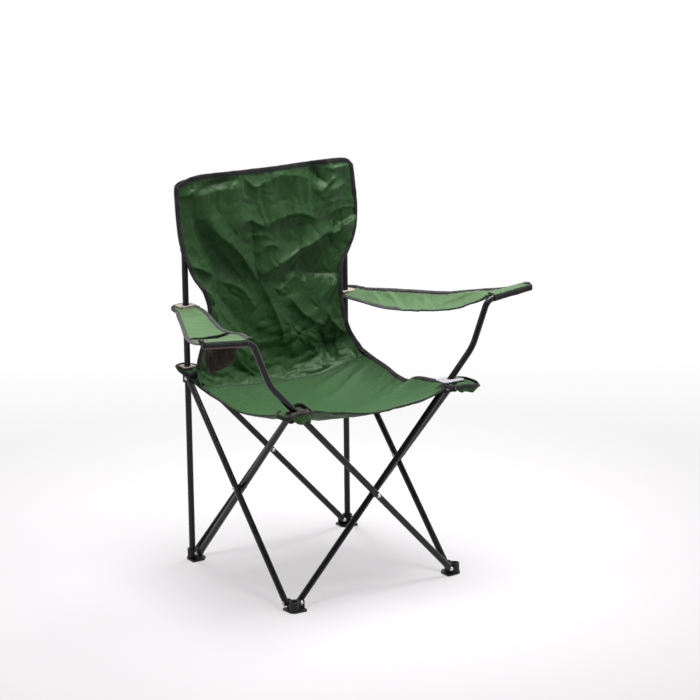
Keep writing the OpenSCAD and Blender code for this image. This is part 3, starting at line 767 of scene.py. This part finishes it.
def make_front_tabs():
    """Corner tabs that hold the seat's front corners on the leaning tubes, with a flap under each."""
    outlines = {
        "left": mm((-198.5, -156, 404), (-214, -170, 409), (-228, -188, 413), (-238, -210, 414),
                   (-226, -226, 410), (-204, -228, 417), (-184, -222, 418), (-163, -211, 413),
                   (-176, -190, 412), (-189, -173, 409)),
        "right": mm((200.5, -156, 407), (214, -168, 411), (229, -186, 413), (239, -206, 411),
                    (241, -231, 406), (222, -235, 407), (196, -230, 409), (165, -217, 410),
                    (182, -192, 412), (192, -174, 410)),
    }
    # the flap hangs from the points start to stop of the outline
    for side, start, stop, ahead, drop, sway in (("left", 44, 74, 0.001, 0.021, -0.004),
                                                 ("right", 36, 58, 0.004, 0.012, 0.006)):
        leg = ARM_LEG[side]
        low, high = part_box("plate_front_" + side)
        hole = ((low.x + high.x) / 2 + SIGN[side] * 0.002, (low.y + high.y) / 2 + 0.0035, low.z - 0.0012)
        grid = ring_tab("corner_tab_" + side, hole, TUBE_R + 0.003, outlines[side], SEAT_CLOTH_PAINTED_LIGHT, leg,
                        "tab_front_" + side, (0.0, 0.74), 0.0016, 1.1)
        top = grid[-1][start:stop + 1] + np.array([0, ahead, -0.001])
        share = np.linspace(0, 1, len(top))
        hang = np.sin(share * math.pi) ** 0.6 * drop * (1 + 0.18 * np.sin(share * 9))
        lower = top + np.stack([0 * share, sway * np.sin(share * math.pi), -hang], 1)
        v = np.linspace(0, 1, 8)[:, None, None]
        flap = lower[None] * (1 - v) + top[None] * v
        flap[..., 1] += 0.003 * np.sin(share * 14)[None] * (1 - v[..., 0])
        piece = grid_object("corner_flap_" + side, flap, SEAT_CLOTH_PAINTED_LIGHT)
        place([piece], leg)
        declare(flap)
    # the left tab's bound edge stands up in a loop behind the tube
    loop = smooth_curve(mm((-199, -197, 416), (-195, -195, 427), (-184, -194, 430.5), (-171, -197, 429),
                           (-160, -203, 419), (-153, -207, 412)), 30)
    down = np.repeat(np.array([[0.001, -0.001, -0.01]]), 30, 0)
    place([tape("corner_loop_left", loop, down, TAPE, 0.008, 0.0034, 15)], ARM_LEG["left"])


# ---- head pockets

def make_pockets(back):
    """Rear layer of the back that closes round the top of each upright."""
    for side, column, seam_column in (("left", 0, 18), ("right", -1, 206)):
        start = int(np.argmin(np.abs(back[:, column, 2] - (TOP - 0.160))))
        outer = back[start:, column][::2]
        inner = back[start:, seam_column][::2] + np.array([0, 0.0015, 0])
        u = np.linspace(0, 1, 21)
        shape = np.sin(u * math.pi) ** 0.55
        grid = np.zeros((len(outer), len(u), 3))
        for r in range(len(outer)):
            # round the tube at the back, drawn in to the panel at the very top
            depth = POST + TUBE_R + 0.0028 - outer[r, 1]
            close = np.clip((TOP - 0.0015 - outer[r, 2]) / 0.030, 0, 1) ** 0.5
            grid[r] = outer[r] * (1 - u)[:, None] + inner[r] * u[:, None]
            grid[r, :, 1] += depth * shape * close
            grid[r, :, 0] += SIGN[side] * 0.0015 * np.sin(r * 0.23) * shape
        # columns run from -x to +x as seen from behind, so that normals point backwards
        if side == "left":
            grid = grid[:, ::-1]
        name = "head_pocket_" + side
        panel = grid_object(name, grid, BACK_CLOTH)
        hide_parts("pocket_" + side)
        hem = tape(name + "_hem", grid[0], grid[2] - grid[0], TAPE, 0.0075, 0.0032, 8)
        place([panel, hem], "rear_" + side)
        declare(grid)


# ---- armrests

BAR_TILT = math.tan(math.radians(5.7))
ARM_EDGES = {
    "left": {
        "inner": mm((-290, -205, 581.5), (-281, -175, 578), (-266, -135, 572), (-259, -81, 564),
                    (-247, -27, 558), (-226, 32, 556), (-204, 94, 556), (-193, 131, 557),
                    (-183, 172, 554.5)),
        "outer": mm((-404, -205, 593), (-396, -181, 581), (-380, -124, 570), (-353, -59, 562),
                    (-322, 4, 556), (-288, 71, 552), (-263, 125, 552), (-240, 172, 552.5)),
        "tab": mm((-183, 172, 554.5), (-180, 190, 554), (-181, 208, 554), (-190, 223, 554),
                  (-206, 226, 553), (-221, 220, 552), (-231, 205, 551.5), (-238, 187, 552),
                  (-240, 172, 552.5), (-221, 170, 553), (-202, 170, 554)),
    },
    "right": {
        "inner": mm((290, -188, 581.5), (284, -178, 572), (270, -158, 561), (258, -130, 548),
                    (246, -100, 540), (225, -35, 529), (212, 20, 522), (206, 75, 517), (197, 130, 519),
                    (184, 172, 523)),
        "outer": mm((402, -188, 594), (385, -178, 589), (362, -155, 582), (337, -120, 576), (315, -80, 568),
                    (301, -40, 560), (276, 40, 552), (250, 120, 544), (234, 172, 538)),
        "tab": mm((184, 172, 523), (179, 188, 526), (180, 206, 529), (188, 221, 532), (204, 226, 534),
                  (219, 220, 536), (228, 204, 538), (233, 187, 538), (234, 172, 538), (219, 170, 533),
                  (200, 170, 527)),
    },
}
# Folds of the armrests, written as those of the back; across runs towards +x, up towards the rear
ARM_FOLDS = {
    "left": [([(6, 93), (50, 90), (94, 93)], 2.2, 10, 4),
             ([(6, 76), (50, 80), (90, 84)], 1.6, 12, 5),
             ([(10, 52), (50, 60), (90, 66)], 1.6, 14, 6)],
    "right": [([(3, 60), (45, 69), (92, 84)], 5, 14, 3),
              ([(3, 74), (40, 82), (80, 93)], 3.5, 10, 3),
              ([(4, 44), (50, 38), (95, 22)], 5, 16, 4),
              ([(4, 32), (50, 22), (92, 10)], 4, 12, 4),
              ([(20, 46), (55, 52), (90, 60)], 3, 12, 4)],
}


def bar_line(side):
    """Height of the arm bar's axis over a given x, as a function, and the bar's y."""
    low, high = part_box("sleeve_" + side)
    middle = (abs(low.x) + abs(high.x)) / 2
    height = (low.z + high.z) / 2
    return (lambda x: height + (abs(x) - middle) * BAR_TILT), (low.y + high.y) / 2


def arm_panel_grid(side):
    """Top cloth of an armrest: rows from the bar to the rear tab, columns towards +x."""
    edges = ARM_EDGES[side]
    cols, rows = 37, 121
    inner, outer = smooth_curve(edges["inner"], rows), smooth_curve(edges["outer"], rows)
    left, right = (outer, inner) if side == "left" else (inner, outer)
    height, _ = bar_line(side)
    front = np.linspace(left[0], right[0], cols)
    front[:, 2] = [height(x) + 0.0085 for x in front[:, 0]]
    left[0], right[0] = front[0], front[-1]
    grid = coons(front, np.linspace(left[-1], right[-1], cols), left, right)
    grid[..., 2] -= sag(grid, 0.004 if side == "left" else 0.008)
    grid = settle(grid, 0.006, frames=14, bending=0.6)
    offset = sum(fold(grid, *part) for part in ARM_FOLDS[side])
    offset = offset + crumple(grid, 16.0, 0.0010, 21) + crumple(grid, 40.0, 0.0005, 22)
    return pushed(grid, offset, 0.06)


def make_armrest(side):
    grid = arm_panel_grid(side)
    name = "armrest_" + side
    cloth, loose, lips = grid, [], []
    if side == "left":
        # the slit across it: two panels whose facing edges are bound, drawn apart in the middle
        cut = int(np.argmin(np.abs(grid[:, grid.shape[1] // 2, 1] + 0.081)))
        share = np.linspace(0, 1, grid.shape[1])
        apart = 0.0048 * np.sin(np.clip(share * 1.06 - 0.03, 0, 1) * math.pi) ** 0.35
        strip_grid, cloth = grid[:cut + 1].copy(), grid[cut:].copy()
        for k, weight in enumerate((1.0, 0.7, 0.4, 0.2)):
            strip_grid[-1 - k, :, 1] -= apart * weight
            strip_grid[-1 - k, :, 2] -= apart * weight * 0.45
            cloth[k, :, 1] += apart * weight
            cloth[k, :, 2] += apart * weight * 0.60
        strip = grid_object("armrest_strip_left", strip_grid, ARM_CLOTH_PAINTED_LIGHT, turn=(0.3, 0.1))
        lips = [tape("armrest_slit_" + lip, edge[3:-3], (toward - edge)[3:-3], TAPE, 0.006, 0.003, seed)
                for lip, edge, toward, seed in (("front", strip_grid[-1], strip_grid[-3], 31),
                                                ("rear", cloth[0], cloth[2], 32))]
        loose = [strip]
        declare(strip_grid)
    panel = grid_object("armrest_top_" + side, cloth, ARM_CLOTH_PAINTED_LIGHT)
    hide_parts(name)
    normals = grid_normals(grid)
    pieces = [*lips]
    for k, (a, b) in enumerate(((0, 2), (-1, -3))):
        pieces += sewn_tape(f"{name}_binding_{k}", f"{name}_stitches_{k}", grid[:, a],
                            grid[:, b] - grid[:, a], normals[:, a], PAINTED_LIGHT_TAPE, 0.0075, 0.0063, 40 + k)
    pieces.append(stitches(name + "_hem_stitches", grid[5] + normals[5] * 0.0008, normals[5], GREEN_THREAD))
    place([panel, *loose, *pieces], name, ARM_SQUASH[side])
    declare(cloth)
    return grid


def make_arm_tab(side):
    hole = (SIGN[side] * POST, POST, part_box("plate_arm_" + side)[0].z - 0.0012)
    ring_tab("arm_tab_" + side, hole, TUBE_R + 0.0025, ARM_EDGES[side]["tab"], ARM_CLOTH_PAINTED_LIGHT, "arm_tab_" + side,
             "tab_arm_" + side, (0.0, 0.72), 0.0006)


def make_sleeve(side):
    """Hem sewn round the arm bar, its tail under the armrest, with tape along its front."""
    height, y = bar_line(side)
    low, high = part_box("sleeve_" + side)
    near, far = sorted((abs(low.x), abs(high.x)))
    sign = SIGN[side]
    r = TUBE_R + 0.0007
    rng = random.Random(71)
    # cross-section (rearwards, up): lower tail, round the front, upper tail
    section = [(0.0170, 0.0052), (0.0120, 0.0030), (0.0075, -0.0015)]
    section += [(r * math.cos(a), r * math.sin(a)) for a in np.radians(np.arange(-50, -275, -12.5))]
    section += [(0.0050, 0.0084), (0.0110, 0.0080), (0.0180, 0.0072)]
    xs = np.linspace(near - 0.004, far + 0.001, 40)
    swell = smoothed([1 + 0.05 * rng.uniform(-1, 1) for _ in xs], 2)
    grid = np.array([[(sign * x, y + a * (swell[k] if a < 0.008 else 1), height(x) + b * swell[k])
                      for a, b in section] for k, x in enumerate(xs)])
    front = np.array([[(sign * x, y + (r + 0.0008) * swell[k] * math.cos(a),
                        height(x) + (r + 0.0008) * swell[k] * math.sin(a))
                       for a in np.radians(np.arange(122, 224, 6))] for k, x in enumerate(xs)])
    if side == "left":
        grid, front = grid[::-1], front[::-1]
    hem = grid_object("arm_hem_" + side, grid, ARM_CLOTH_PAINTED_LIGHT)
    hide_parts("sleeve_" + side)
    extra = [grid_object("arm_hem_tape_" + side, front, TAPE, 0.0013),
             # a thin tan strip along the lower edge of the front tape
             tape("arm_hem_tan_strip_" + side, front[:, -1], front[:, -1] - front[:, -2], TAN_THREAD,
                  0.0014, 0.0014, 52)]
    for k, (ring, toward) in enumerate(((grid[0], grid[1]), (grid[-1], grid[-2]))):
        inward = np.repeat((toward - ring).mean(0)[None], len(ring), 0)
        extra.append(tape(f"arm_hem_end_{side}_{k}", ring, inward, TAPE, 0.0035, 0.0018, 51))
    place([hem, *extra], ARM_LEG[side])
    declare(grid)


def make_cup(arm):
    """Net pocket hung from the left armrest, with a cloth band at its rim."""
    front, rear = -0.1945, -0.073
    rows_y = arm[:, :, 1].mean(1)

    def arm_row(y):
        return arm[int(np.argmin(np.abs(rows_y - y)))]

    def under(x, y):
        return np.interp(x, arm_row(y)[:, 0], arm_row(y)[:, 2]) - 0.0012

    # plan of the pocket: outer and inner side at the front and at the rear, round corners
    front_out, front_in = arm_row(front)[0, 0] + 0.010, arm_row(front)[-1, 0] - 0.006 - 0.020
    rear_out, rear_in = arm_row(rear)[0, 0] + 0.010 + 0.026, arm_row(rear)[-1, 0] - 0.006 - 0.004
    corners = [(front_out, front), (front_in, front), (rear_in, rear), (rear_out, rear)]
    radius = 0.014
    plan = []
    for k in range(4):
        p, a, b = (np.array(corners[(k + j) % 4]) for j in (0, -1, 1))
        for s in np.linspace(0, 1, 6):
            plan.append(p + unit(a - p) * radius * (1 - s) ** 2 + unit(b - p) * radius * s**2)
    plan = np.array(plan + [plan[0]])
    plan = resample(np.column_stack([plan, np.zeros(len(plan))]), 121)[:-1]
    centre = plan.mean(0)
    floor_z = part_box("cup_mesh")[0].z + 0.002

    def ring(depth, shrink):
        out = []
        for k, p in enumerate(plan):
            q = centre + (p - centre) * shrink
            rim = under(p[0], p[1])
            low = floor_z + 0.006 + 0.014 * max(0, (q[0] - front_out) / (front_in - front_out)) ** 2
            bulge = 0.0022 * math.sin(k * 0.42) * math.sin(depth * math.pi)
            q = q + unit(p - centre) * bulge
            out.append((q[0], q[1], rim + (low - rim) * depth))
        return np.array(out + [out[0]])

    band = np.array([ring(d, 1.0) for d in np.linspace(0.13, 0.0, 5)])
    walls = np.array([ring(d, 1.0 - 0.13 * d - 0.8 * max(0, d - 0.75) ** 1.5)
                      for d in np.linspace(1.0, 0.10, 25)])
    inset = np.linspace(0.02, 1.0, 15)
    bottom = np.array([centre + (walls[0] - centre) * s for s in inset])
    bottom[..., 2] = walls[0][None, :, 2] - 0.003 * (1 - inset[:, None] ** 2)
    net, base = grid_object("cup_net", walls, MESH, None), grid_object("cup_net_floor", bottom, MESH, None)
    for obj in (net, base):
        wires = obj.modifiers.new("threads", "WIREFRAME")
        wires.thickness = 0.0011
        wires.use_even_offset = False
    rim = grid_object("cup_band", band, BACK_CLOTH)
    extra = [tape("cup_foot_seam", walls[0, :-1], (walls[1] - walls[0])[:-1], TAPE, 0.003, 0.002, 61, True)]
    for k, corner in enumerate((3, 33, 58, 88)):
        along = np.repeat((walls[5, corner + 3] - walls[5, corner])[None], len(walls), 0)
        extra.append(tape(f"cup_corner_seam_{k}", walls[:, corner], along, TAPE, 0.0028, 0.002, 62 + k))
    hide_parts("cup_mesh")
    place([net, base], "armrest_left", ARM_SQUASH["left"], "black_mesh")
    place([rim, *extra], "armrest_left", ARM_SQUASH["left"])
    declare(band)


back = make_back()
make_seat()
make_pockets(back)
make_slider_tabs()
make_front_tabs()
for arm_side in SIGN:
    make_sleeve(arm_side)
    make_arm_tab(arm_side)
    arm = make_armrest(arm_side)
    if arm_side == "left":
        make_cup(arm)


# ---- camera, light and floor

CAMERA_PLACE = Vector((-2.7555, -4.2022, 1.7751))
CAMERA_RIGHT = Vector((0.82776, -0.56100, -0.00998))
CAMERA_UP = Vector((0.14902, 0.20267, 0.96784))
BACKWARDS = CAMERA_RIGHT.cross(CAMERA_UP)
AHEAD = BACKWARDS * -1


def make_camera():
    data = bpy.data.cameras.new("camera")
    data.lens = 129.15
    data.sensor_width = 36
    data.clip_end = 100
    camera = linked("camera", data)
    turn = Matrix((CAMERA_RIGHT, CAMERA_UP, BACKWARDS)).transposed()
    camera.matrix_world = Matrix.Translation(CAMERA_PLACE) @ turn.to_4x4()
    bpy.context.scene.camera = camera


def make_light(name, place, size, power):
    data = bpy.data.lights.new(name, "AREA")
    data.shape = "RECTANGLE"
    data.size, data.size_y = size
    data.energy = power
    light = linked(name, data)
    light.location = place
    to_seat = Vector((0, 0, 0.4)) - Vector(place)
    light.rotation_euler = to_seat.to_track_quat("-Z", "Y").to_euler()


def make_floor():
    """Pale floor that brightens into the white surround away from the object."""
    s = 15.0
    mesh = bpy.data.meshes.new("floor")
    mesh.from_pydata([(-s, -s, 0), (s, -s, 0), (s, s, 0), (-s, s, 0)], [], [(0, 1, 2, 3)])
    tree = new_tree("floor")
    material = tree.surface({"Base Color": (0.80, 0.79, 0.80), "Roughness": 0.9, "Specular IOR Level": 0.1})
    place = tree.place()
    depth = tree.add("VectorMath", {0: place, 1: AHEAD}, "Value", operation="DOT_PRODUCT")
    tone = tree.add("MapRange", {"Value": depth, "From Min": 0.0, "From Max": 1.6}, "Result")
    glow = tree.add("Emission", {"Color": tree.ramp(tone, [(0.0, (0.80, 0.775, 0.79)), (1.0, 1.0)]),
                                 "Strength": 1.0})
    reach = tree.add("VectorMath", {0: place}, "Value", operation="LENGTH")
    fade = tree.add("MapRange", {"Value": reach, "From Min": 0.45, "From Max": 1.25, "To Min": 0.64}, "Result")
    plain = tree.nodes["Principled BSDF"].outputs[0]
    tree.fill(tree.nodes["Material Output"], {"Surface": tree.add("MixShader", {0: fade, 1: plain, 2: glow})})
    mesh.materials.append(material)
    linked("floor", mesh)


def make_world():
    """White to the camera; as a light it is bright behind the object and dim in front of it."""
    world = bpy.data.worlds.new("studio")
    bpy.context.scene.world = world
    tree = Tree(world)
    seen = tree.nodes["Background"]
    tree.fill(seen, {"Color": (1, 1, 1)})
    direction = tree.add("TexCoord", {}, "Generated")
    away = tree.add("VectorMath", {0: direction, 1: AHEAD}, "Value", operation="DOT_PRODUCT")
    strength = tree.add("MapRange", {"Value": away, "From Min": -0.6, "From Max": 0.7, "To Min": 0.14,
                                     "To Max": 0.85}, "Result")
    lit = tree.add("Background", {"Color": (0.97, 0.985, 1), "Strength": strength})
    to_camera = tree.add("LightPath", {}, "Is Camera Ray")
    mix = tree.add("MixShader", {0: to_camera, 1: lit, 2: seen.outputs[0]})
    tree.fill(tree.nodes["World Output"], {"Surface": mix})


make_camera()
make_world()
make_floor()
make_light("top_soft", (0.3, 0.0, 2.5), (1.6, 1.6), 112)
make_light("front_right", (2.2, -2.6, 2.2), (1.2, 1.2), 17)
make_light("left_rim", (-2.8, 0.6, 1.8), (0.8, 1.6), 14)
bpy.context.scene.view_settings.view_transform = "Standard"
